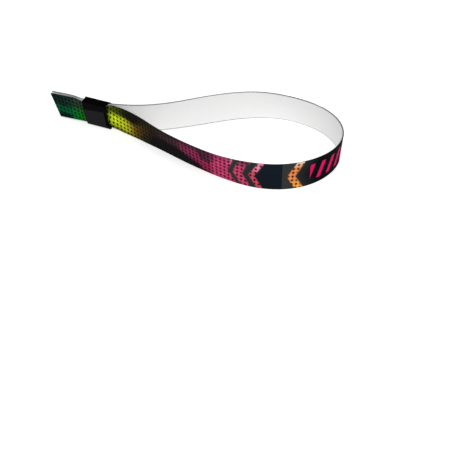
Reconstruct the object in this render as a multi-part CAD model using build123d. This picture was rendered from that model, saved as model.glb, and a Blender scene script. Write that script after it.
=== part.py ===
from build123d import *
import os
import numpy as np

# A woven wristband: one printed ribbon, whose two ends pass side by side through a moulded slider.
# It stands open on its edge, as it does by itself on a table. Lengths are in millimetres and
# angles in degrees. The slider's face looks to the front, which is -Y, and +Z is up.

# The ribbon
ribbon_length = 350.0     # from tip to tip, along its middle
ribbon_width = 15.0
ribbon_thick = 1.0
tail_length = 17.0        # each free end past the slider, along its middle
slant_length = 3.0        # how much further a tip's top edge reaches than its bottom edge
edge_tuck = 0.8           # how far the slider draws the ribbon's top edge down
tuck_run = 7.0            # length of ribbon over which that edge comes up again
facet_length = 2.5        # about this far from one cross-section of the ribbon to the next

# The slider
slider_length = 13.0      # along the ribbon
face_wall = 0.85          # in front of the ribbon and behind it
edge_wall = 0.8           # above the ribbon and below it
corner_round = 1.5        # the four corners of its face
rim_round = 1.0           # all the way round its front and its back
mouth_bevel = 0.3         # where the ribbon goes in and comes out
lip_reach = 1.1           # how far the edge walls stick out at the loop's end
notch_depth = 1.7         # how far both faces are cut back there, from the ends of those walls
notch_round = 0.8         # the inner corners of that cut

# The clearances
layer_gap = 0.3           # between the two layers of ribbon
slot_play = 0.3           # between the ribbon and each wall of the slot

# How the slider lies
slider_heading = -20.0    # its long side, turned from +X towards the front
slider_lean = 10.0        # its top, tipped towards the front

# The loop, from the slider's front layer round to its back layer, a row for each place on it:
#   share   how far along the loop the place is
#   turn    which way the ribbon goes there, turned from the slider's long side
#   lean    how far the ribbon's top edge tips out of the loop
#   lift    0 where the ribbon stands on the table, 1 where it is as high as in the slider
loop_columns = ("share", "turn", "lean", "lift")
loop_rows = [
    (0.00, 0.0, slider_lean, 1.0),
    (0.03, -12.5, 3.0, 0.8),
    (0.07, -21.0, 5.0, 0.4),
    (0.12, -22.0, 12.0, 0.1),
    (0.18, -18.5, 13.5, 0.0),
    (0.25, -11.0, 11.5, 0.0),
    (0.32, 7.0, 3.5, 0.0),
    (0.40, 42.0, 1.5, 0.0),
    (0.47, 77.0, 5.0, 0.0),
    (0.54, 120.5, 3.0, 0.0),
    (0.61, 157.5, 0.0, 0.0),
    (0.68, 181.5, 0.0, 0.0),
    (0.75, 206.5, 10.5, 0.1),
    (0.82, 218.5, 14.5, 0.3),
    (0.88, 216.0, 8.0, 0.5),
    (0.93, 204.0, 3.5, 0.7),
    (0.97, 190.5, -2.5, 0.9),
    (1.00, 180.0, -slider_lean, 1.0),
]
loop_table = dict(zip(loop_columns, np.array(loop_rows).T))

# What follows from those sizes
loop_length = ribbon_length - 2 * (slider_length + tail_length)
layer_pitch = ribbon_thick + layer_gap
slot_thick = 2 * ribbon_thick + layer_gap + 2 * slot_play
slot_width = ribbon_width - edge_tuck + 2 * slot_play
slider_thick = slot_thick + 2 * face_wall
slider_width = slot_width + 2 * edge_wall
notch_width = slot_width - 2 * edge_wall
upright = np.array([0.0, 0.0, 1.0])


# Three directions at each heading and lean: along the ribbon, up its width with its top edge
# tipped out of the loop, and out through its printed side.
def directions(heading, lean):
    turned, tipped = np.radians(heading), np.radians(lean)
    way = np.column_stack([np.cos(turned), np.sin(turned), 0 * turned])
    outward = np.column_stack([np.sin(turned), -np.cos(turned), 0 * turned])
    width = np.cos(tipped)[:, None] * upright + np.sin(tipped)[:, None] * outward
    through = np.cos(tipped)[:, None] * outward - np.sin(tipped)[:, None] * upright
    return way, width, through


# How high the middle of a rounded, leaning rectangle is when it rests on the table.
def resting_height(width_size, thick_size, rounding, width, through):
    return (rounding + (width_size / 2 - rounding) * abs(width[:, 2])
            + (thick_size / 2 - rounding) * abs(through[:, 2]))


# The slider's directions and its middle. The middle of a ribbon that isn't tucked is a little
# higher there, because its lower edge lies just over the floor of the slot.
slider_ways = directions(np.array([slider_heading]), np.array([slider_lean]))
along, upwards, forwards = (ways[0] for ways in slider_ways)
slider_middle = upright * resting_height(slider_width, slider_thick, rim_round, *slider_ways[1:])
ribbon_middle = slider_middle + upwards * edge_tuck / 2


# A smooth curve through a column's rows, which has the slope of the neighbouring rows in each.
def smooth(column, places):
    shares, values = loop_table["share"], loop_table[column]
    slopes = np.gradient(values, shares)
    row = np.clip(np.searchsorted(shares, places, side="right") - 1, 0, len(shares) - 2)
    span = shares[row + 1] - shares[row]
    t = (places - shares[row]) / span
    value_part = values[row] + (values[row + 1] - values[row]) * t**2 * (3 - 2 * t)
    slope_part = t * (1 - t) * ((1 - t) * slopes[row] - t * slopes[row + 1])
    return value_part + span * slope_part


# How far the top edge is drawn down, at a distance from the slider.
def tuck_at(distance):
    t = np.clip(distance / tuck_run, 0, 1)
    return edge_tuck * (1 - t**2 * (3 - 2 * t))


# The corners of each cross-section: the printed side's top and bottom, then the bare side's
# bottom and top. A slanted cut shifts the top edge outwards and the bottom edge inwards.
def sections(middle, width, through, tuck, slant):
    top = middle + width * (ribbon_width / 2 - tuck)[:, None] - along * slant[:, None] / 2
    bottom = middle - width * ribbon_width / 2 + along * slant[:, None] / 2
    half = through * ribbon_thick / 2
    return np.stack([top + half, bottom + half, bottom - half, top - half], axis=1)


# A straight tail with its slanted cut, from the slider's left mouth out to the tip. Its printed
# side looks forwards on the front layer, side 1, and backwards on the back layer, side -1.
def tail_sections(side):
    places = np.linspace(0, 1, 1 + round(tail_length / facet_length))
    each = np.ones_like(places)[:, None]
    mouth = ribbon_middle - along * slider_length / 2 + side * forwards * layer_pitch / 2
    middle = mouth - along * tail_length * places[:, None]
    return sections(middle, upwards * each, side * forwards * each,
                    tuck_at(places * tail_length), slant_length * places)


# The loop between the slider's right mouths. Its steps are added up heading by heading, and what
# they miss the far mouth by is spread over the whole length.
def loop_sections():
    steps = round(loop_length / facet_length)
    places = np.linspace(0, 1, steps + 1)
    way, width, through = directions(slider_heading + smooth("turn", places), smooth("lean", places))
    paces = (way[1:] + way[:-1]) / 2 * loop_length / steps
    walked = np.vstack([np.zeros(3), np.cumsum(paces, axis=0)])
    mouths = ribbon_middle + along * slider_length / 2
    start, end = mouths + forwards * layer_pitch / 2, mouths - forwards * layer_pitch / 2
    middle = start + walked + places[:, None] * (end - start - walked[-1])
    standing = resting_height(ribbon_width, ribbon_thick, 0, width, through)
    lift = np.clip(smooth("lift", places), 0, 1)
    middle[:, 2] = standing + lift * (middle[:, 2] - standing)
    slider_distance = np.minimum(places, 1 - places) * loop_length
    return sections(middle, width, through, tuck_at(slider_distance), 0 * places)


# A closed solid through cross-sections of four corners each: two triangles join each of their
# sides to the next section, and two close each end.
def solid_through(rings):
    triangles = []
    for near, far in zip(rings[:-1], rings[1:]):
        for corner in range(4):
            following = (corner + 1) % 4
            triangles.append((near[corner], near[following], far[following]))
            triangles.append((near[corner], far[following], far[corner]))
    first, last = rings[0], rings[-1]
    triangles += [(first[0], first[3], first[2]), (first[0], first[2], first[1])]
    triangles += [(last[0], last[1], last[2]), (last[0], last[2], last[3])]
    faces = [Face(Wire.make_polygon([tuple(point) for point in points])) for points in triangles]
    return Solid(Shell(faces))


# The slider, made lying along X with its face to the front, then tipped, turned and set down.
# At the loop's end both faces are cut back, so that the edge walls stick out as two lips.
def make_slider():
    block = Box(slider_length + lip_reach, slider_thick, slider_width)
    block = fillet(block.edges().filter_by(Axis.Y), corner_round)
    block = Pos(X=lip_reach / 2) * fillet(block.faces().filter_by(Axis.Y).edges(), rim_round)
    slot = Box(3 * slider_length, slot_thick, slot_width)
    face_end = slider_length / 2 + lip_reach - notch_depth
    notch = Box(2 * notch_depth, 2 * slider_thick, notch_width)
    notch = fillet(notch.edges().filter_by(Axis.Y), notch_round)
    tail_flare = extrude(Plane.YZ * Rectangle(slot_thick, slot_width), 2 * mouth_bevel, taper=-45)
    loop_flare = extrude(Plane.YZ * Rectangle(slot_thick, notch_width), 2 * mouth_bevel, taper=-45)
    block = block - slot - Pos(X=face_end + notch_depth) * notch
    block = block - Pos(X=face_end - mouth_bevel) * loop_flare
    block = block - Pos(X=mouth_bevel - slider_length / 2) * Rot(Z=180) * tail_flare
    return Pos(*slider_middle) * Rot(Z=slider_heading) * Rot(X=slider_lean) * block


# The ribbon runs from the front tail's tip through the slider, round the loop and back through
# the slider to the back tail's tip. The origin is the middle of the whole wristband on the table.
ribbon_rings = np.concatenate([tail_sections(1)[::-1], loop_sections(), tail_sections(-1)])
slider = make_slider()
slider_box = slider.bounding_box()
low = np.minimum(ribbon_rings.min(axis=(0, 1)), tuple(slider_box.min))
high = np.maximum(ribbon_rings.max(axis=(0, 1)), tuple(slider_box.max))
plan_middle = (low + high) / 2 * (1, 1, 0)
pieces = {
    "ribbon": solid_through(ribbon_rings - plan_middle),
    "slider": Pos(*-plan_middle) * slider,
}

os.makedirs("parts", exist_ok=True)
for name, piece in pieces.items():
    export_step(piece, f"parts/{name}.step")
    print(name, round(piece.volume), "cubic mm,", piece.bounding_box())
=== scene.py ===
# %% [markdown]
# # A woven wristband on a white table
#
# The part is one printed ribbon, 15 mm wide, and the black slider that both of its ends go
# through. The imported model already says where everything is. This script makes the two pieces
# again with their fine shape and their finishes, and sets up the table, the light and the camera.

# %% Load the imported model
import bpy
import numpy as np
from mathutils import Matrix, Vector


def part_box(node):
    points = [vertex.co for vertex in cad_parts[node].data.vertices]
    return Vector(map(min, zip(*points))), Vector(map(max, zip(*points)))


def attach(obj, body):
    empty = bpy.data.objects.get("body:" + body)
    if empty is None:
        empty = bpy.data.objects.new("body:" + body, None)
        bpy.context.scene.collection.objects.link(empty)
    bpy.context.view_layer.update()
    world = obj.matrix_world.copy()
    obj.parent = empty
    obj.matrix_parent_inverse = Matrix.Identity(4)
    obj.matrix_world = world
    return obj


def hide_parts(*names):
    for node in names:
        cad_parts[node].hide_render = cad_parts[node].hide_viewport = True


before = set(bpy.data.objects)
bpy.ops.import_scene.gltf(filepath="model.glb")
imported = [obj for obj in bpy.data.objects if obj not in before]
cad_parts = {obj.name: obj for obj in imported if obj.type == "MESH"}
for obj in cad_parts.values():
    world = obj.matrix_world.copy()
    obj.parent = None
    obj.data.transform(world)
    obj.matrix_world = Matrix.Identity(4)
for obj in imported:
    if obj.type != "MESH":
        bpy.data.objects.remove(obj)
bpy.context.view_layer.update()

# %% [markdown]
# ## The sizes
#
# Blender works in metres, so a length is written in millimetres times `mm`. The main lengths are
# the model's, apart from some tenths of a millimetre at the slider and the tips. The cloth itself
# is thinner than the solid ribbon, and its two layers lie closer together in the slot.

# %% The driving sizes
mm = 0.001

ribbon_length = 350.0 * mm
ribbon_width = 15.0 * mm
cloth_thick = 0.65 * mm
tail_length = 17.0 * mm
slant_length = 3.4 * mm  # how much further a tip's top edge reaches than its bottom edge
ribbon_rise = 0.25 * mm  # the ribbon's middle over the slider's, to clear the slot's floor
edge_tuck = 1.5 * mm     # how far the front layer's top edge is drawn down at the tails' mouth
tuck_run = 5.5 * mm      # and the length over which it comes up again
mouth_tuck = 2.6 * mm    # the same for the loop's mouth
mouth_run = 6.0 * mm
mouth_inside = 2.5 * mm  # how far inside that mouth the edge begins to come up
back_tuck = 0.45 * mm    # the back layer's top edge is hardly drawn down
layer_pitch = 0.85 * mm  # from the middle of one layer of cloth to the other, in the slot

slider_length = 13.0 * mm
lip_reach = 1.1 * mm  # how far the slider's edge walls stick out at the loop's end
slider_thick = 4.5 * mm
slider_width = 16.6 * mm
slot_thick = 3.0 * mm
slot_width = 14.9 * mm

slider_heading = -20.0
slider_lean = 8.5  # the cloth stands a little more upright in it than the model's slider

loop_length = ribbon_length - 2 * (slider_length + tail_length)
print("the loop between the slider's mouths is", round(loop_length / mm), "mm long")

# %% [markdown]
# ## The way the ribbon runs
#
# A strap is easiest to model as a cross-section that travels along a path. A curve object could be
# the path, but it gives little hold on which way a flat ribbon faces and how far it leans. So the
# path is a table: at a share of the loop, how far the heading has turned, the lean, and how high
# the ribbon is carried. The rows are the model's, but the cloth comes down to the table sooner, and
# a smooth curve goes through each column.

# %% The loop as a table
loop_columns = ("share", "turn", "lean", "lift")
loop_rows = [
    (0.00, 0.0, slider_lean, 1.0),
    (0.03, -12.5, 3.0, 0.3),
    (0.07, -21.0, 5.0, 0.1),
    (0.12, -22.0, 12.0, 0.0),
    (0.18, -18.5, 13.5, 0.0),
    (0.25, -11.0, 11.5, 0.0),
    (0.32, 7.0, 3.5, 0.0),
    (0.40, 42.0, 1.5, 0.0),
    (0.47, 77.0, 5.0, 0.0),
    (0.54, 120.5, 3.0, 0.0),
    (0.61, 157.5, 0.0, 0.0),
    (0.68, 181.5, 0.0, 0.0),
    (0.75, 206.5, 10.5, 0.1),
    (0.82, 218.5, 14.5, 0.3),
    (0.88, 216.0, 8.0, 0.5),
    (0.93, 204.0, 3.5, 0.7),
    (0.97, 190.5, -2.5, 0.9),
    (1.00, 180.0, -slider_lean, 1.0),
]
loop_table = dict(zip(loop_columns, np.array(loop_rows).T))


def smoothstep(x, start, end):
    """0 before start and 1 after end, and between them 3t squared less 2t cubed."""
    t = np.clip((x - start) / (end - start), 0, 1)
    return t**2 * (3 - 2 * t)


def smooth(column, places):
    """A cubic through the column's rows, whose slope at a row is that of its neighbours."""
    shares, values = loop_table["share"], loop_table[column]
    slopes = np.gradient(values, shares)
    row = np.clip(np.searchsorted(shares, places, side="right") - 1, 0, len(shares) - 2)
    span = shares[row + 1] - shares[row]
    t = (places - shares[row]) / span
    value_part = values[row] + (values[row + 1] - values[row]) * t**2 * (3 - 2 * t)
    slope_part = t * (1 - t) * ((1 - t) * slopes[row] - t * slopes[row + 1])
    return value_part + span * slope_part


print("the table has", len(loop_rows), "rows of", ", ".join(loop_columns))

# %% [markdown]
# ### Three directions at every place
#
# At each place the ribbon has its own small set of axes: along it, up its width, and out through
# its printed side. Heading and lean are enough to work them out.

# %% The ribbon's own axes
upright = np.array([0.0, 0.0, 1.0])


def directions(heading, lean):
    """Along the ribbon, up its width and out through its printed side, from two angles.

    The heading turns the way along, in plan. The lean tips the top edge out of the loop.
    """
    turned, tipped = np.radians(heading), np.radians(lean)
    way = np.column_stack([np.cos(turned), np.sin(turned), 0 * turned])
    outward = np.column_stack([np.sin(turned), -np.cos(turned), 0 * turned])
    width = np.cos(tipped)[:, None] * upright + np.sin(tipped)[:, None] * outward
    through = np.cos(tipped)[:, None] * outward - np.sin(tipped)[:, None] * upright
    return way, width, through


slider_ways = directions(np.array([slider_heading]), np.array([slider_lean]))
along, upwards, forwards = (ways[0] for ways in slider_ways)
slider_middle = np.mean(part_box("slider"), axis=0) - along * lip_reach / 2
ribbon_middle = slider_middle + upwards * ribbon_rise
print("the slider's middle, in mm:", np.round(slider_middle / mm, 2).tolist())

# %% [markdown]
# ### From tip to tip
#
# The ribbon is straight through the slider and in both tails, and has two layers there.

# %% The straight parts
tail_bow = 0.75 * mm  # how far the back tail stands off from the front one
first_mouth = tail_length + slider_length
last_mouth = ribbon_length - first_mouth


def straight_part(side, from_middle):
    """The middle of the front layer, side 1, or the back layer, side -1, in and near the slider.

    It is the slider's middle moved half a layer's pitch out and along by the distance given. The
    back tail also bows away from the front one, over the first half of its length.
    """
    beyond = (-from_middle - slider_length / 2) / tail_length
    bow = tail_bow * smoothstep(beyond, 0, 0.5) * (side < 0)
    out = side * (layer_pitch / 2 + bow)
    return ribbon_middle + along * from_middle[:, None] + forwards * out[:, None]


print("the ribbon is straight for", round(first_mouth / mm), "mm from each tip")

# %% [markdown]
# In the loop its place comes from adding up small steps along the heading. They miss the far mouth
# by a little, which is spread over the whole loop, where nobody sees it. Where the loop rests on
# the table, its height follows from its lean: a leaning strip stands a little lower.

# %% From mouth to mouth, and from tip to tip
rows_along = 2100         # cross-sections from tip to tip
turn_height = 0.035 * mm  # how far each turn of the weft thread stands out of an edge


def loop_part(places):
    """The middle of the loop at rising shares of it, with its three directions.

    Each step goes along the mean of two neighbouring headings. The height is that of a leaning
    strip on the table, mixed by the lift with the height in the slider.
    """
    heading = slider_heading + smooth("turn", places)
    way, width, through = directions(heading, smooth("lean", places))
    paces = (way[1:] + way[:-1]) / 2 * np.diff(places)[:, None] * loop_length
    walked = np.vstack([np.zeros(3), np.cumsum(paces, axis=0)])
    mouths = ribbon_middle + along * slider_length / 2
    start, end = mouths + forwards * layer_pitch / 2, mouths - forwards * layer_pitch / 2
    middle = start + walked + places[:, None] * (end - start - walked[-1])
    standing = (ribbon_width / 2 + turn_height) * abs(width[:, 2])
    standing = standing + cloth_thick / 2 * abs(through[:, 2])
    lift = np.clip(smooth("lift", places), 0, 1)
    middle[:, 2] = standing + lift * (middle[:, 2] - standing)
    return middle, way, width, through


def ribbon_path(count):
    """Distance along, middle, way, width and through, at even steps from tip to tip."""
    distance = np.linspace(0, ribbon_length, count)
    front = distance < first_mouth
    back = distance > last_mouth
    loop = ~front & ~back
    middle, way, width, through = (np.empty((count, 3)) for _ in range(4))
    to_slider = tail_length + slider_length / 2
    middle[front] = straight_part(1, distance[front] - to_slider)
    middle[back] = straight_part(-1, ribbon_length - to_slider - distance[back])
    way[front], width[front], through[front] = along, upwards, forwards
    way[back], width[back], through[back] = -along, upwards, -forwards
    share = (distance[loop] - first_mouth) / loop_length
    inner = loop_part(np.concatenate([[0], share, [1]]))
    middle[loop], way[loop], width[loop], through[loop] = (part[1:-1] for part in inner)
    return distance, middle, way, width, through


distance, middle, way, width, through = ribbon_path(rows_along)
measured = np.linalg.norm(np.diff(middle, axis=0), axis=1).sum()
print("the path is", round(measured / mm, 1), "mm from tip to tip")

# %% [markdown]
# ## A grid made into a mesh
#
# Both pieces are grids of points: the ribbon's section closes into a ring, and so does the slider's
# wall. One helper turns such a grid into faces, as whole arrays of indices. It also prints the
# mesh's volume, which is positive only if its faces look outwards.

# %% Faces for a grid
def grid_quads(rows, columns, close_rows=False):
    """Four indices for each cell of a grid whose columns close round into a ring."""
    row, column = np.meshgrid(np.arange(rows - (not close_rows)), np.arange(columns), indexing="ij")
    next_row, next_column = (row + 1) % rows, (column + 1) % columns
    corners = [(row, column), (next_row, column), (next_row, next_column), (row, next_column)]
    return np.stack([r * columns + c for r, c in corners], axis=-1).reshape(-1, 4)


def make_piece(name, points, quads, sharp_angle):
    """A smooth-shaded mesh object at the origin, sharp only where faces meet at a wide angle."""
    mesh = bpy.data.meshes.new(name)
    mesh.from_pydata(points.tolist(), [], quads.tolist())
    mesh.polygons.foreach_set("use_smooth", np.ones(len(quads), bool))
    mesh.set_sharp_from_angle(angle=np.radians(sharp_angle))
    piece = bpy.data.objects.new(name, mesh)
    bpy.context.scene.collection.objects.link(piece)
    a, b, c, d = (points[quads[:, k]] for k in range(4))
    volume = (np.cross(a, b) * c).sum() / 6 + (np.cross(a, c) * d).sum() / 6
    print(name, "has", len(quads), "faces and", round(volume / mm**3), "cubic mm")
    return piece


# %% [markdown]
# ## The ribbon
#
# Narrow woven bands have a firm edge on each side, the selvedge, where the weft thread turns back.
# It is a little thicker than the rest and slightly uneven. The cross-section is a long flat oval:
# two flat sides and two edges that are nearly square. As it travels along the path, its top edge is
# drawn down near the slider, and at the tips it shifts along to give the slanted cut.

# %% The cross-section
side_points, edge_points = 17, 9  # on each flat side and on each edge
edge_squareness = 0.5  # 1 would be a half-round edge


def section_ring():
    """The ring of a flat oval, as a share of the width, -1 to 1, and of the thickness, -1 to 1.

    It goes up the printed side, round the top edge, down the bare side and round the bottom. An
    edge is half a superellipse: a sine and a cosine to the power of edge_squareness.
    """
    half_thick, half_width = cloth_thick / 2, ribbon_width / 2
    flat = 1 - half_thick / half_width
    up = np.sin(np.linspace(-np.pi / 2, np.pi / 2, side_points)) * flat
    angle = np.linspace(0, np.pi, edge_points + 2)[1:-1]
    edge = flat + (1 - flat) * np.sin(angle) ** edge_squareness
    turn = np.sign(np.cos(angle)) * abs(np.cos(angle)) ** edge_squareness
    across = np.concatenate([up, edge, up[::-1], -edge])
    depth = np.concatenate([np.ones(side_points), turn, -np.ones(side_points), -turn])
    return across, depth


across, depth = section_ring()
print("a ring of", len(across), "points goes round the ribbon")

# %% [markdown]
# A point of the ribbon is a sum of four products. They are made as whole arrays, with a row for
# each place along and a column for each point of the ring.

# %% The ribbon's surface
selvedge_width = 1.2 * mm
selvedge_extra = 0.05 * mm  # how much thicker than the rest it is on each side
selvedge_even = 0.6         # the share of that which doesn't come and go with the weft's turns
turn_pitch = 0.8 * mm       # from one turn of the weft thread to the next
turns_from = 0.9            # they stand out only past this share of half the width
corner_round = 0.5 * mm     # the tips' corners
corner_from = 0.75          # past this share of the tail the grid gives way to them


def corner_pull(height, half_width, rounding):
    """How far a quarter-circle corner pulls the end of a face back, at a height on the face."""
    over = np.clip(abs(height) - (half_width - rounding), 0, rounding)
    return rounding - np.sqrt(rounding**2 - over**2)


def ribbon_surface():
    """Points of the ribbon, and for each its distance along, height and depth in the cloth.

    Point = middle + width * height + through * out + way * shift. The height runs from edge to
    edge, less what the slider tucks in at the top. The shift is the slant of a tip, which grows
    along the tail and is linear across it, less a quarter circle at each corner.
    """
    place = distance[:, None]
    from_tip = np.minimum(place, ribbon_length - place)
    rise_from = first_mouth - mouth_inside
    through_slider = smoothstep(from_tip, tail_length, rise_from)
    front_tuck = edge_tuck + (mouth_tuck - edge_tuck) * through_slider
    tuck = np.where(place < ribbon_length / 2, front_tuck, back_tuck)
    tuck = tuck * (1 - smoothstep(tail_length - from_tip, 0, tuck_run))
    tuck = tuck * (1 - smoothstep(from_tip, rise_from, rise_from + mouth_run))
    edge_share = smoothstep(abs(across), 1 - 2 * selvedge_width / ribbon_width, 1)
    phase = 2 * np.pi * place / turn_pitch
    turning = np.cos(phase + np.pi * (across > 0)) * edge_share * (abs(across) > turns_from)
    height = across * ribbon_width / 2 - tuck * (1 + across) / 2
    height = height + np.sign(across) * turn_height * turning
    uneven = selvedge_even + (1 - selvedge_even) * np.cos(phase)
    out = depth * (cloth_thick / 2 + selvedge_extra * edge_share * uneven)
    in_tail = np.clip(1 - from_tip / tail_length, 0, 1)
    pulled = corner_pull(across * ribbon_width / 2, ribbon_width / 2, corner_round)
    pulled = pulled * smoothstep(in_tail, corner_from, 1)
    beyond = slant_length / 2 * across * in_tail - pulled
    shift = np.where(place < ribbon_length / 2, -beyond, beyond)
    points = (middle[:, None] + width[:, None] * height[..., None]
              + through[:, None] * out[..., None] + way[:, None] * shift[..., None])
    return points, place + shift, (1 + across) / 2 * ribbon_width + 0 * place, depth + 0 * place


points, print_along, print_height, cloth_depth = ribbon_surface()
quads = grid_quads(rows_along, len(across))
print("the ribbon's box, in mm:", np.round(np.ptp(points, axis=(0, 1)) / mm, 2).tolist())

# %% [markdown]
# The ring is the same on its printed and its bare side, so a tip is closed by quads that join each
# point of one side to its partner on the other. The mesh also gets a UV map that follows the cloth,
# which is how a printed pattern stays on it round every bend: U is the share of the ribbon's
# length and V the share of its width. An attribute says how deep in the cloth a point is.

# %% The ribbon's mesh
def tip_quads(first, reverse):
    """The quads of a cut end: each joins two neighbours to their partners on the far side."""
    count = len(across)
    near = np.arange(-(edge_points // 2) - 1, side_points + edge_points // 2)
    partner = 2 * (side_points - 1) + edge_points + 1 - near
    quad = np.column_stack([near[:-1], near[1:], partner[1:], partner[:-1]]) % count + first
    return quad[:, ::-1] if reverse else quad


last_ring = (rows_along - 1) * len(across)
ends = [tip_quads(0, reverse=False), tip_quads(last_ring, reverse=True)]
quads = np.concatenate([quads] + ends)
ribbon = make_piece("ribbon_cloth", points.reshape(-1, 3), quads, sharp_angle=50)

corner_vertex = np.empty(len(ribbon.data.loops), np.int32)
ribbon.data.loops.foreach_get("vertex_index", corner_vertex)
print_map = np.column_stack([print_along.ravel() / ribbon_length,
                             print_height.ravel() / ribbon_width])
uv_layer = ribbon.data.uv_layers.new(name="cloth")
uv_layer.data.foreach_set("uv", print_map[corner_vertex].astype(np.float32).ravel())
depth_layer = ribbon.data.attributes.new("depth_in_cloth", "FLOAT", "POINT")
depth_layer.data.foreach_set("value", cloth_depth.astype(np.float32).ravel())

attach(ribbon, "root")
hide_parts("ribbon")

# %% [markdown]
# ## The slider
#
# The real slider is one small moulding, a flat tube with rounded corners. It could be a box with a
# bevel and a hole cut in it, but a boolean leaves ragged faces where the rounding changes. A grid
# does it in one go: one parameter goes round the tube, and the other round the wall's own outline,
# from the outside over the rim into the slot and back.

# %% Round the slider
rim_round = 1.1 * mm      # the tube's long edges
slot_round = 0.4 * mm
face_crown = 0.12 * mm    # how much the long faces fall off from the middle to their edges
parting_depth = 0.1 * mm  # the fine groove where the two halves of the mould met
parting_width = 0.35 * mm
face_places, edge_places, corner_places = 36, 10, 9


def rounded_rectangle(half_thick, half_width, rounding, part, into):
    """Points on a rectangle with quarter-circle corners, and their outward normals.

    Even parts are the straight sides and odd ones the corners after them, and into says how far
    along its part a point is. A corner's point is its centre plus the rounding along the normal. A
    side's point is the start of the next corner less what is left of the side.
    """
    corner, on_arc = part // 2, part % 2
    angle = (corner + on_arc * into) * np.pi / 2
    normal = np.column_stack([np.cos(angle), np.sin(angle)])
    signs = np.array([(1, 1), (-1, 1), (-1, -1), (1, -1)])[corner]
    centre = signs * (half_thick - rounding, half_width - rounding)
    side = 2 * np.where(corner % 2 == 0, half_width, half_thick) - 2 * rounding
    left_over = side * (1 - into) * (1 - on_arc)
    tangent = np.column_stack([-np.sin(angle), np.cos(angle)])
    return centre + rounding * normal - tangent * left_over[:, None], normal


def tube_sections():
    """The outer rectangle and the slot's, with as many points each, from the front face round.

    The long faces are crowned: they fall off with the square of the height. A groove runs along
    the middle of each edge wall, as deep as a bell curve of the distance from it.
    """
    counts = [face_places, corner_places, edge_places, corner_places] * 2
    part = np.repeat(np.arange(8), counts)
    into = np.concatenate([np.arange(count) / count for count in counts])
    outer, normal = rounded_rectangle(slider_thick / 2, slider_width / 2, rim_round, part, into)
    inner, _ = rounded_rectangle(slot_thick / 2, slot_width / 2, slot_round, part, into)
    crown = face_crown * (2 * outer[:, 1] / slider_width) ** 2 * abs(normal[:, 0])
    groove = parting_depth * np.exp(-((2 * outer[:, 0] / parting_width) ** 2)) * (part % 4 == 2)
    return outer - normal * (crown + groove)[:, None], inner, outer[:, 1]


outer, inner, face_height = tube_sections()
print("a ring of", len(outer), "points goes round the slider")

# %% [markdown]
# At the tails' end the faces are slightly bowed. At the loop's end they are cut back in a curve,
# and the edge walls stick out past the cut as two lips, whose ends run aslant from front to back.

# %% The slider's two ends
mouth_round = 0.2 * mm  # the wall's end, at each mouth
tail_corner = 0.3 * mm  # the corners of the long faces at the tails' end
end_bow = 0.7 * mm      # how much further their middle reaches there
end_slant = 0.5 * mm    # and how much further their upper half, up to the corner
lip_corners = (2.4 * mm, 0.3 * mm)  # the lower and the upper corner at the loop's end
lip_extra = 0.4 * mm    # the real lips reach a little further than the model's
lip_slant = 1.7 * mm    # the upper lip reaches further at the back, the lower at the front
lip_width = 2.6 * mm    # how much of the width each lip takes
notch_depth = 2.6 * mm  # how far the front face is cut back between the lips
back_notch = 0.2        # the cut in the back face, as a share of that
notch_slope = 1.4 * mm  # how much further in the cut goes at the face than at the slot
notch_run = 1.4 * mm    # the run over which the cut curves out to the lips


def tails_end(height):
    """Where the wall ends at the tails: a parabola, a straight slant and two rounded corners."""
    edge_place = 2 * height / slider_width
    low = end_bow * edge_place**2 - end_slant * (1 + edge_place) / 2
    low = low + corner_pull(height, slider_width / 2, tail_corner)
    return low - slider_length / 2 + mouth_round


def loops_end(out, height):
    """Where the wall ends at the loop, at its outside and at the slot.

    The lips' ends fall back in proportion to out times height, and at their corners. Between the
    lips the end is drawn in to the notch, by a smooth step on each side.
    """
    lip_end = slider_length / 2 + lip_reach + lip_extra - mouth_round
    slant = lip_slant * out / slider_thick * np.clip(height / slot_width * 2, -1, 1)
    lip_corner = np.where(height > 0, lip_corners[1], lip_corners[0])
    lips = lip_end - slant - corner_pull(height, slider_width / 2, lip_corner)
    lip_from = slider_width / 2 - lip_width
    between = 1 - smoothstep(abs(height), lip_from - notch_run, lip_from)
    between = between * np.where(out > 0, 1, back_notch)
    high = lips + (lip_end - notch_depth - lips) * between
    return high, high + notch_slope * between


low = tails_end(face_height)
high, slot_high = loops_end(outer[:, 0], face_height)
print("the slider is", round((high.max() - low.min() + 2 * mouth_round) / mm, 1), "mm long in all")

# %% [markdown]
# Now the wall's outline is carried round the tube. The slider sits a little askew on the ribbon, as
# far as its slot lets it, so the slot widens where the loop's back strand leaves it.

# %% The slider's surface
askew_heading = -4.0
askew_lean = 2.5
mouth_flare = 0.55 * mm  # how far the slot widens backwards at the loop's mouth
flare_from = 1.5 * mm    # and how far past the slider's middle that begins
wall_places, mouth_places = 24, 7


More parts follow.
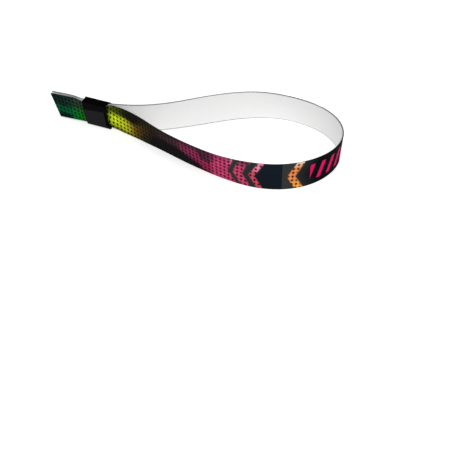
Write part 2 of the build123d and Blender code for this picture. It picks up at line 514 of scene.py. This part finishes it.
def slider_surface():
    """The slider's grid: a row for each place round the tube, a column round the wall's outline.

    The outline goes along the outside from the tails' end, round the loop's mouth, back along the
    slot and round the tails' mouth. Across the wall a place is a blend from the outer rectangle to
    the slot's, by how deep in the wall it is. A mouth is half a circle from the one to the other.
    """
    share = np.linspace(0, 1, wall_places)
    arc = np.linspace(0, np.pi, mouth_places + 2)[1:-1]
    turn_in = (1 - np.cos(arc)) / 2
    swell = mouth_round * np.sin(arc)
    outside = low[:, None] + (high - low)[:, None] * share
    inside = low[:, None] + (slot_high - low)[:, None] * share[::-1]
    loop_mouth = high[:, None] + (slot_high - high)[:, None] * turn_in + swell
    along_wall = np.concatenate([outside, loop_mouth, inside, low[:, None] - swell], axis=1)
    depth_in_wall = np.concatenate([0 * share, turn_in, 0 * share + 1, turn_in[::-1]])[:, None]
    flat = outer[:, None] * (1 - depth_in_wall) + inner[:, None] * depth_in_wall
    behind = smoothstep(-inner[:, :1], 0, slot_thick / 2)
    flare = mouth_flare * smoothstep(along_wall, flare_from, slider_length / 2 + lip_reach)
    flat[..., 0] -= flare * behind * depth_in_wall[:, 0]
    on_face = np.stack([along_wall, flat[..., 1], flat[..., 0]], axis=-1)
    heading, lean = slider_heading + askew_heading, slider_lean + askew_lean
    ways = directions(np.array([heading]), np.array([lean]))
    points = slider_middle + on_face @ np.concatenate(ways)
    points[..., 2] -= points[..., 2].min()
    return points, on_face


wall_points, on_face = slider_surface()
slider_quads = grid_quads(*wall_points.shape[:2], close_rows=True)[:, ::-1]
slider = make_piece("slider_moulding", wall_points.reshape(-1, 3), slider_quads, sharp_angle=60)
place_layer = slider.data.attributes.new("place_on_face", "FLOAT_VECTOR", "POINT")
place_layer.data.foreach_set("vector", (on_face / mm).astype(np.float32).ravel())
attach(slider, "root")
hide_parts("slider")

# %% [markdown]
# ## Shader maths in plain expressions
#
# A pattern is arithmetic on coordinates. Node by node that is slow to write and hard to read, so a
# small class wraps a socket and gives it the usual operators. An expression such as 1 - a * b then
# adds its Math nodes by itself.

# %% A socket that can be added and multiplied
def both_ways(operation):
    """The two methods of an operator: as it is written, and reflected, with the other first."""
    def forward(self, other):
        return self.finish.maths(operation, self, other)

    def reflected(self, other):
        return self.finish.maths(operation, other, self)

    return forward, reflected


class Value:
    """A number that varies over a surface, as the output socket of a node."""

    def __init__(self, finish, socket):
        self.finish, self.socket = finish, socket

    __add__, __radd__ = both_ways("ADD")
    __sub__, __rsub__ = both_ways("SUBTRACT")
    __mul__, __rmul__ = both_ways("MULTIPLY")
    __truediv__, __rtruediv__ = both_ways("DIVIDE")
    __pow__, __rpow__ = both_ways("POWER")

    def __neg__(self):
        return self * -1

    def __abs__(self):
        return self.finish.maths("ABSOLUTE", self)

    def floor(self):
        return self.finish.maths("FLOOR", self)

    def sine(self):
        return self.finish.maths("SINE", self)

    def above(self, other):
        """1 where this is the greater of the two, and 0 elsewhere."""
        return self.finish.maths("GREATER_THAN", self, other)

    def larger(self, other):
        return self.finish.maths("MAXIMUM", self, other)

    def ramp(self, start, end):
        """0 at start and 1 at end, straight between them and held outside."""
        return self.finish.maths("ADD", (self - start) / (end - start), 0, clamp=True)

    def soft(self, start, end):
        """As ramp, but with a smooth start and end: 3t squared less 2t cubed."""
        t = self.ramp(start, end)
        return t * t * (3 - 2 * t)


# %% [markdown]
# A finish is a material. One method adds any node to it: it takes the node's type, its settings,
# and the values or links of its sockets. Only Math and Mix nodes have a method of their own.

# %% A material made of expressions
class Finish:
    """A material whose nodes are added by expressions."""

    def __init__(self, name):
        self.material = bpy.data.materials.new(name)
        self.material.use_nodes = True
        self.tree = self.material.node_tree
        self.shader = self.tree.nodes["Principled BSDF"]

    def node(self, kind, settings, inputs):
        """Adds a node, applies its settings, then links or sets its inputs by name or number."""
        made = self.tree.nodes.new(kind)
        for key, value in settings.items():
            if key == "stops":
                self.set_stops(made.color_ramp, value)
            else:
                setattr(made, key, value)
        for key, value in inputs.items():
            self.join(made.inputs[key], value)
        return [Value(self, socket) for socket in made.outputs]

    def join(self, socket, value):
        """Links a value to an input, or sets the input to a plain number or colour."""
        if isinstance(value, Value):
            self.tree.links.new(value.socket, socket)
        else:
            socket.default_value = value

    def set_stops(self, color_ramp, stops):
        """Puts (place, colour) pairs on a ramp, which starts with two stops."""
        while len(color_ramp.elements) < len(stops):
            color_ramp.elements.new(1.0)
        for element, (place, colour) in zip(color_ramp.elements, stops):
            element.position = place
            element.color = (*colour, 1.0)

    def maths(self, operation, *values, clamp=False):
        """The result of a Math node on some values, of which any may be a plain number."""
        settings = {"operation": operation, "use_clamp": clamp}
        return self.node("ShaderNodeMath", settings, dict(enumerate(values)))[0]

    def mix(self, factor, first, second):
        """A colour between two, each a link or three numbers, by a factor from 0 to 1."""
        colours = [c if isinstance(c, Value) else (*c, 1.0) for c in (first, second)]
        made = self.node("ShaderNodeMix", {"data_type": "RGBA"},
                         {0: factor, 6: colours[0], 7: colours[1]})
        return made[2]

    def feed(self, socket, value):
        """Joins a value to a socket of the material's shader."""
        self.join(self.shader.inputs[socket], value)


# %% [markdown]
# Colours are easiest to name as a screen shows them, but a shader works with amounts of light.

# %% A colour by its numbers on a screen
def ink(red, green, blue):
    """A screen's colour, 0 to 255 a channel, as light.

    The formula is sRGB's: a straight line in the darkest part and a power of 2.4 above it.
    """
    shown = np.array([red, green, blue]) / 255
    light = np.where(shown < 0.04045, shown / 12.92, ((shown + 0.055) / 1.055) ** 2.4)
    return tuple(light.tolist())


print("a middle grey is", round(ink(128, 128, 128)[0], 3), "of white")

# %% [markdown]
# ## The ribbon's print and weave
#
# Bands of this kind are woven white and printed on one side by dye sublimation. The print is a
# glow that changes colour along the band, broken into small cells, with a dark dot at each cell's
# corner, and further on slanted chevrons. It is arithmetic on the cloth's own UV map, which is
# sharp at any distance, as an image isn't.

# %% Where a point is on the cloth
cloth = Finish("printed_satin")
uv = cloth.node("ShaderNodeUVMap", {"uv_map": "cloth"}, {})[0]
u, v, _ = cloth.node("ShaderNodeSeparateXYZ", {}, {0: uv})
length_mm, width_mm = ribbon_length / mm, ribbon_width / mm
tip_distance = length_mm / 2 - abs(u * length_mm - length_mm / 2)
up_width = v * width_mm
print("from a tip to the band's middle:", length_mm / 2, "mm")

# %% [markdown]
# ### The dots
#
# The dots stand in rows. Beside the slider the rows lean, and they spread like a fan with the
# square of the distance. Both are taken out first.

# %% A place with the fan taken out
past_tail = 20.0  # the tail has neither fan nor lean
fan_from, fan_run, fan_share, fan_height = 40.0, 9.0, 0.42, 3.3
lean_from, lean_rate, lean_height = 38.0, 0.034, 5.2

off_tail = tip_distance.above(past_tail)
fan = 1 + ((fan_from - tip_distance).larger(0) * off_tail / fan_run) ** 2 * fan_share
lean = (lean_from - tip_distance).larger(0) * off_tail * lean_rate
straight_up = (up_width - fan_height) / fan + fan_height
straight_along = tip_distance - lean * (up_width - lean_height)
print("the fan lies between", past_tail, "and", fan_from, "mm from a tip")

# %% [markdown]
# The rest is a lattice a few degrees off square with the ribbon. It changes a little from the tail
# to the glow and on to the chevrons. A point's place is written in steps along its lattice's two
# directions, and the nearest whole step is the nearest dot.

# %% The lattice
dot_steps = [     # from where, to the next dot, to the next row, and where one dot is
    (0, ((2.05, -0.38), (-0.06, 2.44), (10.97, 7.14))),
    (22, ((2.243, -0.106), (-0.007, 2.262), (44.40, 5.48))),
    (66, ((2.245, -0.242), (0.201, 2.232), (112.81, 7.99))),
]
dot_reach = 0.38  # from a dot's middle to its points, in steps
dot_blur = 0.2    # the share of that by which its edge is soft on each side


def lattice(steps, place_along, place_up):
    """A place in steps along the two directions of a lattice: a two-by-two matrix, turned back."""
    (step_along, step_up), (row_along, row_up), (dot_along, dot_up) = steps
    from_dot, above_dot = place_along - dot_along, place_up - dot_up
    area = step_along * row_up - step_up * row_along
    column = (from_dot * row_up - above_dot * row_along) / area
    row = (above_dot * step_along - from_dot * step_up) / area
    return column, row


def nearest_whole(value):
    """The nearest whole number."""
    return (value + 0.5).floor()


def by_stretch(values):
    """Of one value for each lattice, the one whose stretch a point is in."""
    picked = values[0]
    for (start, _), value in zip(dot_steps[1:], values[1:]):
        picked = picked + (value - picked) * tip_distance.above(start)
    return picked


on_lattices = [lattice(steps, straight_along, straight_up) for _, steps in dot_steps]
column, row = (by_stretch(values) for values in zip(*on_lattices))
to_dot = abs(column - nearest_whole(column)) + abs(row - nearest_whole(row))
dots = 1 - to_dot.soft(dot_reach * (1 - dot_blur), dot_reach * (1 + dot_blur))
print("the dots stand on", len(dot_steps), "lattices")

# %% [markdown]
# Half steps give the cells of the mosaic. A cell's middle is turned back from steps into a distance
# and a height, so that the whole cell can take the colour of that one place.

# %% The mosaic
def unlattice(steps, column, row):
    """A place given in a lattice's steps, as a distance along and a height."""
    (step_along, step_up), (row_along, row_up), (dot_along, dot_up) = steps
    return (column * step_along + row * row_along + dot_along,
            column * step_up + row * row_up + dot_up)


def cell_middle(value, step):
    """The middle of the cell that a value falls in, for cells of a step each."""
    return (value / step).floor() * step + step / 2


def stepped(step):
    """The distance along and the height of the middle of a point's cell, for cells of a step."""
    middles = [unlattice(steps, cell_middle(column, step), cell_middle(row, step))
               for (_, steps), (column, row) in zip(dot_steps, on_lattices)]
    middle_along, middle_up = (by_stretch(values) for values in zip(*middles))
    middle_up = (middle_up - fan_height) * fan + fan_height
    return middle_along + lean * (middle_up - lean_height), middle_up


mosaic_step = 0.5
stair_step = 0.25  # the chevrons' edges go up in smaller stairs
tile_column, tile_row = cell_middle(column, mosaic_step), cell_middle(row, mosaic_step)
tile_along, tile_up = stepped(mosaic_step)
stair_along, stair_up = stepped(stair_step)
print("a cell is", round(mosaic_step * dot_steps[1][1][0][0], 1), "mm long")

# %% [markdown]
# ### The glow and the chevrons
#
# Everything in the print is worked out for the cells' middles, so its edges step along the mosaic.
# A chevron is the same stripe again, folded at the middle of the width: the fold moves a point back
# along the band by so much for each millimetre above or below.

# %% A place along the band, with the chevrons folded straight
chevron_middle = 7.35
fold_from, fold_whole = 98.0, 108.0
upper_slant, lower_slant = 0.42, 0.57
steeper_from, steeper_whole, steeper_by = 118.0, 119.5, 0.19  # the last chevrons' upper arms
stairs_from = 104.0  # past here the colours follow the stairs and not the cells
sharp = 0.12         # the run over which a chevron's edge changes colour
half_length = length_mm / 2

folding = tip_distance.soft(fold_from, fold_whole)
steeper = tip_distance.soft(steeper_from, steeper_whole)
fold_up = folding * upper_slant + steeper * steeper_by
fold_down = folding * lower_slant
above_fold = (stair_up - chevron_middle).larger(0)
below_fold = (chevron_middle - stair_up).larger(0)
folded = stair_along - fold_up * above_fold - fold_down * below_fold
band_place = tile_along + (folded - tile_along) * stair_along.above(stairs_from)
print("the chevrons' lower arms slant by", lower_slant, "mm for each mm of width")

# %% [markdown]
# After that fold, three ramps along the band hold its colours: one through the glow's middle, one
# above it and one below it. A stripe takes two stops of one colour, which keeps its edges sharp.

# %% The colours along the band
def along_band(rows, column):
    """Stops of a ramp: rows of a place in mm and three colours, of which a column is taken."""
    return [(row[0] / half_length, ink(*row[column])) for row in rows]


def stripes(start, rows, column):
    """Stops for stripes that touch. A row is (end, three colours) and starts at the last's end."""
    stops = []
    for row in rows:
        stops += [((start + sharp) / half_length, ink(*row[column])),
                  ((row[0] - sharp) / half_length, ink(*row[column]))]
        start = row[0]
    return stops


glow_rows = [     # place, above the glow, in its middle, below it
    (4, (14, 37, 32), (0, 82, 46), (2, 28, 24)),
    (9, (20, 46, 36), (2, 92, 44), (2, 42, 30)),
    (11, (34, 56, 44), (4, 104, 38), (6, 96, 40)),
    (15.5, (44, 62, 48), (12, 108, 14), (26, 112, 22)),
    # at 30.2 mm, just out of the slider's loop mouth, the print's green is darkened by painted
    # shade of the mouth
    (30.2, (28, 34, 10), (60, 78, 12), (40, 50, 10)),
    (31.2, (84, 94, 20), (190, 212, 34), (112, 122, 30)),
    (40, (34, 34, 14), (192, 200, 32), (98, 102, 22)),
    (43.5, (24, 24, 16), (160, 154, 28), (92, 94, 22)),
    (47.5, (22, 20, 18), (100, 74, 20), (84, 80, 24)),
    (52.5, (34, 30, 16), (64, 48, 22), (44, 40, 20)),
    (60, (40, 40, 14), (38, 30, 22), (20, 18, 16)),
    (74, (30, 26, 26), (62, 40, 44), (19, 18, 18)),
    (78.4, (36, 27, 30), (68, 40, 47), (19, 19, 20)),
    (79.4, (50, 30, 40), (118, 44, 74), (20, 19, 22)),
    (97.8, (78, 36, 56), (150, 38, 78), (38, 20, 30)),
    (98.6, (104, 42, 72), (186, 60, 104), (160, 42, 84)),
    (106.4, (142, 56, 92), (188, 62, 106), (180, 54, 96)),
    (107.2, (220, 122, 158), (190, 64, 108), (182, 54, 98)),
]
first_stripe = 108.0
chevron_rows = [  # a stripe's end, and the same three
    (110.5, (46, 50, 48), (44, 50, 48), (44, 50, 48)),
    (115.0, (122, 56, 80), (192, 66, 104), (188, 62, 100)),
    (118.6, (42, 46, 46), (42, 46, 46), (40, 44, 44)),
    (121.5, (226, 128, 160), (196, 72, 92), (196, 80, 96)),
    (137.1, (20, 27, 35), (19, 26, 34), (20, 27, 35)),
    (141.0, (240, 212, 184), (220, 130, 74), (232, 154, 70)),
]
after_rows = [
    (141.2, (36, 40, 42), (38, 42, 42), (36, 40, 42)),
    (150, (8, 9, 10), (8, 9, 10), (8, 9, 10)),
]


def band_stops(column):
    """All the stops of one of the three ramps, in order of their place."""
    striped = stripes(first_stripe, chevron_rows, column)
    return along_band(glow_rows, column) + striped + along_band(after_rows, column)


band_share = band_place / half_length
above, glow, below = (
    cloth.node("ShaderNodeValToRGB", {"stops": band_stops(column)}, {0: band_share})[0]
    for column in (1, 2, 3))
print(len(band_stops(1)), "stops in each ramp, which is all that it can hold")

# %% [markdown]
# The glow wanders up and down the width, and it is broad in places and narrow in others. A fourth
# ramp holds numbers where the others hold colours: its red is the height of the glow's middle, as a
# share of the width, its green how far it reaches above that and its blue how far below.

# %% Where the glow lies across the width
glow_shape = [
    (0, (0.36, 0.30, 0.20)), (5, (0.32, 0.29, 0.14)), (9, (0.32, 0.30, 0.20)),
    (10, (0.25, 0.40, 0.50)), (16, (0.24, 0.48, 0.60)), (30, (0.40, 0.42, 0.36)),
    (38, (0.40, 0.34, 0.36)), (42, (0.34, 0.36, 0.36)), (46, (0.32, 0.30, 0.32)),
    (50, (0.38, 0.36, 0.36)), (58, (0.62, 0.34, 0.28)), (66, (0.76, 0.26, 0.22)),
    (74, (0.74, 0.30, 0.22)), (79.5, (0.72, 0.30, 0.26)), (85, (0.62, 0.42, 0.34)),
    (91, (0.56, 0.46, 0.40)), (92, (0.34, 0.26, 0.32)), (97.8, (0.30, 0.30, 0.34)),
    (98.7, (0.42, 0.38, 0.80)), (100.6, (0.42, 0.38, 0.90)), (101.4, (0.42, 0.80, 1.0)),
    (108, (0.42, 0.80, 1.0)), (109.3, (0.66, 0.26, 1.0)), (118, (0.62, 0.30, 1.0)),
    (120, (0.45, 0.40, 1.0)), (123, (0.45, 0.30, 1.0)), (134, (0.45, 0.40, 1.0)),
    (137, (0.55, 0.50, 0.45)), (143, (0.64, 0.42, 0.45)),
]
glow_core = 0.35  # the share of its reach that the glow's own colour fills
shape_stops = [(place / half_length, shape) for place, shape in glow_shape]
shape_place = tile_along / half_length
shape_colour = cloth.node("ShaderNodeValToRGB", {"stops": shape_stops}, {0: shape_place})[0]
shape_parts = cloth.node("ShaderNodeSeparateColor", {}, {0: shape_colour})
glow_middle, reach_above, reach_below = shape_parts[:3]
off_glow = tile_up / width_mm - glow_middle
share_above = (off_glow / reach_above).soft(glow_core, 1.0)
share_below = (-off_glow / reach_below).soft(glow_core, 1.0)
printed = cloth.mix(share_below, cloth.mix(share_above, glow, above), below)
print("the glow's shape is set at", len(glow_shape), "places")

# %% [markdown]
# No two cells of the mosaic are quite alike: each is a little lighter or darker than the next.
# White noise gives every cell a number of its own. The dots come last. They are the cell's colour,
# taken nearly to black, and the plain dark stretches have none.

# %% The cells and the dots
mosaic_until = 112.0  # past here the cells are all alike
cell_spread = 0.34    # from the darkest cells to the lightest
bright_from = 0.96    # cells past this chance are lighter still
bright_extra = 0.4
dot_cover = 0.96      # how dense a dot is
dot_tint = 0.06       # the share of the cell's colour in it
faint_dots = 0.9      # how nearly the dark stripes are without dots
grey_from = 134.8     # past here the plain stretch is a little greyer

cell_place = cloth.node("ShaderNodeCombineXYZ", {}, {0: tile_column, 1: tile_row})[0]
chance = cloth.node("ShaderNodeTexWhiteNoise", {"noise_dimensions": "2D"}, {0: cell_place})[0]
in_mosaic = 1 - tip_distance.above(mosaic_until)
lighter = (chance - 0.5) * cell_spread + chance.above(bright_from) * bright_extra
printed = cloth.node("ShaderNodeVectorMath", {"operation": "SCALE"},
                     {0: printed, "Scale": 1 + lighter * in_mosaic})[0]


def in_stripe(number):
    """1 in the chevrons' stripe of that number, counted from 0, and 0 elsewhere."""
    starts = [first_stripe] + [row[0] for row in chevron_rows]
    return folded.above(starts[number]) - folded.above(starts[number + 1])


plain_stripe = in_stripe(4)
plain = plain_stripe + folded.above(chevron_rows[-1][0])
plain = plain + (in_stripe(0) + in_stripe(2)) * faint_dots
dot_black = cloth.mix(dot_tint, (0.002, 0.001, 0.002), printed)
printed = cloth.mix(dots * (1 - plain) * dot_cover, printed, dot_black)
greyer = tip_distance.above(grey_from) * plain_stripe
printed = cloth.mix(greyer, printed, ink(50, 52, 51))
print("a cell is up to", round(cell_spread * 50), "percent lighter or darker than its colour")

# %% [markdown]
# ### The middle stretch
#
# Past the chevrons the band is nearly black, with a plain pattern of slanted bars, mirrored about
# the band's middle. A bar is where the nearest whole step is under half a bar's width away.

# %% Plain bars for the middle of the band
bar_from, bar_pitch, bar_width, bar_slant = 149.0, 6.5, 2.4, 0.35
bar_blur = 0.1           # by which an edge is soft on each side
bar_ends = (0.29, 0.31)  # where they fade out, from the middle, as shares of the width
in_bar_run = tip_distance.soft(bar_from - bar_blur, bar_from + bar_blur)
bar_height = 1 - abs(v - 0.5).soft(*bar_ends)
bar_phase = (tip_distance - bar_from - (up_width - width_mm / 2) * bar_slant) / bar_pitch
bar_off = abs(bar_phase - nearest_whole(bar_phase)) * bar_pitch
in_bar = 1 - bar_off.soft(bar_width / 2 - bar_blur, bar_width / 2 + bar_blur)
printed = cloth.mix(in_bar_run * bar_height * in_bar, printed, ink(205, 20, 95))
print("a bar stands every", bar_pitch, "mm")

# %% [markdown]
# ### The weave
#
# Under the print the cloth is a fine satin: threads along the band that float over the weft. Its
# relief is a wave across the threads and, on their tops, a second one along them. It goes in as
# bump, because a thread is only a quarter of a millimetre wide. The bare side is white, a little
# darker where the relief is low, which is painted shade of the weave. It has a thin grey line along
# each edge: partly the print's colour soaked round, partly painted shade of the edge.

# %% The cloth's finish
thread_pitch, weft_pitch = 0.28, 0.36
strand_relief, float_relief = 0.5, 0.35
side_blur = 0.1            # where print and bare side meet, as a share of half the thickness
edge_line = (0.95, 0.965)  # where the grey line begins and is whole, as shares of half the width

strand = (up_width * (2 * np.pi / thread_pitch)).sine()
float_wave = ((tip_distance / weft_pitch + up_width / thread_pitch * 0.5) * (2 * np.pi)).sine()
relief = strand * strand_relief + float_wave * float_relief * (strand * 0.5 + 0.5)

depth_in = cloth.node("ShaderNodeAttribute", {"attribute_name": "depth_in_cloth"}, {})[2]
printed_side = depth_in.soft(-side_blur, side_blur)
# the white darkens where the relief is low: painted shade in the weave's hollows
bare = cloth.mix(0.5 + relief * 0.25, ink(228, 228, 228), ink(240, 240, 239))
# a grey line along each edge: partly print soaked round, partly painted shade along the edge
bare = cloth.mix((abs(v - 0.5) * 2).soft(*edge_line), bare, ink(142, 143, 148))
cloth.feed("Base Color", cloth.mix(printed_side, bare, printed))
cloth.feed("Roughness", 0.62 + relief * 0.06)
bump = cloth.node("ShaderNodeBump", {},
                  {"Strength": 0.25, "Distance": 0.06 * mm, "Height": relief})[0]
cloth.feed("Normal", bump)
cloth.feed("Specular IOR Level", 0.01)
ribbon.data.materials.append(cloth.material)
print("the cloth's material has", len(cloth.tree.nodes), "nodes")

# %% [markdown]
# ## Black plastic
#
# The slider is moulded in black plastic. Its upper part is polished and nearly black. The lower
# part of its long face is a little less polished and is painted dark grey, which is a painted
# reflection, with a sharp line between them. An attribute of the mesh holds each point's distance
# along, height and depth in the slider's own directions, so the line is one comparison.

# %% The slider's finish
plastic = Finish("black_moulded_plastic")
place = plastic.node("ShaderNodeTexCoord", {}, {})[3]
on_slider = plastic.node("ShaderNodeAttribute", {"attribute_name": "place_on_face"}, {})[1]
face_along, face_up, face_out = plastic.node("ShaderNodeSeparateXYZ", {}, {0: on_slider})[:3]
line_height, line_slope, line_blur = 3.0, 0.1, 0.1
painted_reflection_end = 5.6        # how far along the face the grey goes
front_from = 1.2      # how far out of the slider's middle its front face begins
grain_scale = 2500.0  # noise cells in a metre

above_line = face_up - face_along * line_slope
under_line = 1 - above_line.ramp(line_height - line_blur, line_height + line_blur)
before_end = 1 - face_along.ramp(painted_reflection_end - line_blur, painted_reflection_end + line_blur)
# where the lower front face is painted grey: a painted reflection, not the plastic's own colour
grey = under_line * face_out.above(front_from) * before_end
grain = plastic.node("ShaderNodeTexNoise", {},
                     {"Vector": place, "Scale": grain_scale, "Detail": 2.0})[0]
black = plastic.mix(grain, ink(3, 3, 3), ink(6, 6, 6))
# the dark grey of the painted reflection
painted_reflection_grey = plastic.mix(grain, ink(27, 27, 29), ink(33, 33, 35))
plastic.feed("Base Color", plastic.mix(grey, black, painted_reflection_grey))
plastic.feed("Roughness", 0.34 + grain * 0.08 + grey * 0.12)
fine = plastic.node("ShaderNodeBump", {},
                    {"Strength": 0.15, "Distance": 0.04 * mm, "Height": grain})[0]
plastic.feed("Normal", fine)
plastic.feed("Specular IOR Level", 0.01)
slider.data.materials.append(plastic.material)
print("the grey part of the face ends", line_height, "mm over the slider's middle")

# %% [markdown]
# ## The table, the light and the camera
#
# A catalogue photograph has a white table that runs out of the picture. Here it is one face with a
# dull white finish that glows a little, so that it stays white in the shade.

# %% The table
far = 2.0  # how far the table reaches to each side, in metres
table_mesh = bpy.data.meshes.new("table_top")
table_mesh.from_pydata([(-far, -far, 0), (far, -far, 0), (far, far, 0), (-far, far, 0)],
                       [], [(0, 1, 2, 3)])
table = bpy.data.objects.new("table_top", table_mesh)
bpy.context.scene.collection.objects.link(table)
paper = Finish("white_table")
speckle_place = paper.node("ShaderNodeTexCoord", {}, {})[3]
speckle = paper.node("ShaderNodeTexNoise", {}, {"Vector": speckle_place, "Scale": 30.0})[0]
paper.feed("Base Color", paper.mix(speckle, (0.88, 0.88, 0.88), (0.9, 0.9, 0.9)))
paper.feed("Roughness", 1.0)
paper.feed("Specular IOR Level", 0.0)
paper.feed("Emission Color", (1.0, 1.0, 1.0, 1.0))
paper.feed("Emission Strength", 0.5)
table_mesh.materials.append(paper.material)
print("the table is", 2 * far, "m wide")

# %% [markdown]
# The light is soft and comes from all round: a white surround, a large key light and a weak fill.
# Standard colour management keeps white paper white.

# %% The light
scene = bpy.context.scene
scene.view_settings.view_transform = "Standard"
world = bpy.data.worlds.new("studio")
world.use_nodes = True
surround = world.node_tree.nodes["Background"].inputs
surround["Color"].default_value = (1.0, 1.0, 1.0, 1.0)
surround["Strength"].default_value = 0.46
scene.world = world


def soft_light(name, place, towards, size, power):
    """A square area light at a place, turned to a point."""
    light = bpy.data.lights.new(name, "AREA")
    light.shape = "SQUARE"
    light.size, light.energy = size, power
    lamp = bpy.data.objects.new(name, light)
    scene.collection.objects.link(lamp)
    lamp.location = place
    lamp.rotation_euler = (towards - lamp.location).to_track_quat("-Z", "Y").to_euler()


middle_of_band = Vector((0, 0, 0.008))
light_size, key_power, fill_power = 0.7, 4.6, 1.1
soft_light("key", Vector((0.45, -0.55, 0.8)), middle_of_band, light_size, key_power)
soft_light("fill", Vector((-0.6, -0.5, 0.6)), middle_of_band, light_size, fill_power)
print("the key light is", round(key_power / fill_power, 1), "times as strong as the fill")

# %% [markdown]
# The camera stands where the photograph was taken from: in front, looking down at nearly 39
# degrees, half a metre away. Its lens makes the band as large as there.

# %% The camera
camera_tilt = 38.846  # below the horizon, in degrees
camera_place = (17.402 * mm, -451.652 * mm, 313.615 * mm)
sensor = 36.0
picture_side = 456
focal_pixels = 1080.8
lens_data = bpy.data.cameras.new("camera")
lens_data.sensor_fit = "HORIZONTAL"
lens_data.sensor_width = sensor
lens_data.lens = sensor * focal_pixels / picture_side
camera = bpy.data.objects.new("camera", lens_data)
scene.collection.objects.link(camera)
camera.location = camera_place
camera.rotation_euler = (np.radians(90 - camera_tilt), 0, 0)
scene.camera = camera
print("the lens is", round(lens_data.lens, 1), "mm long")
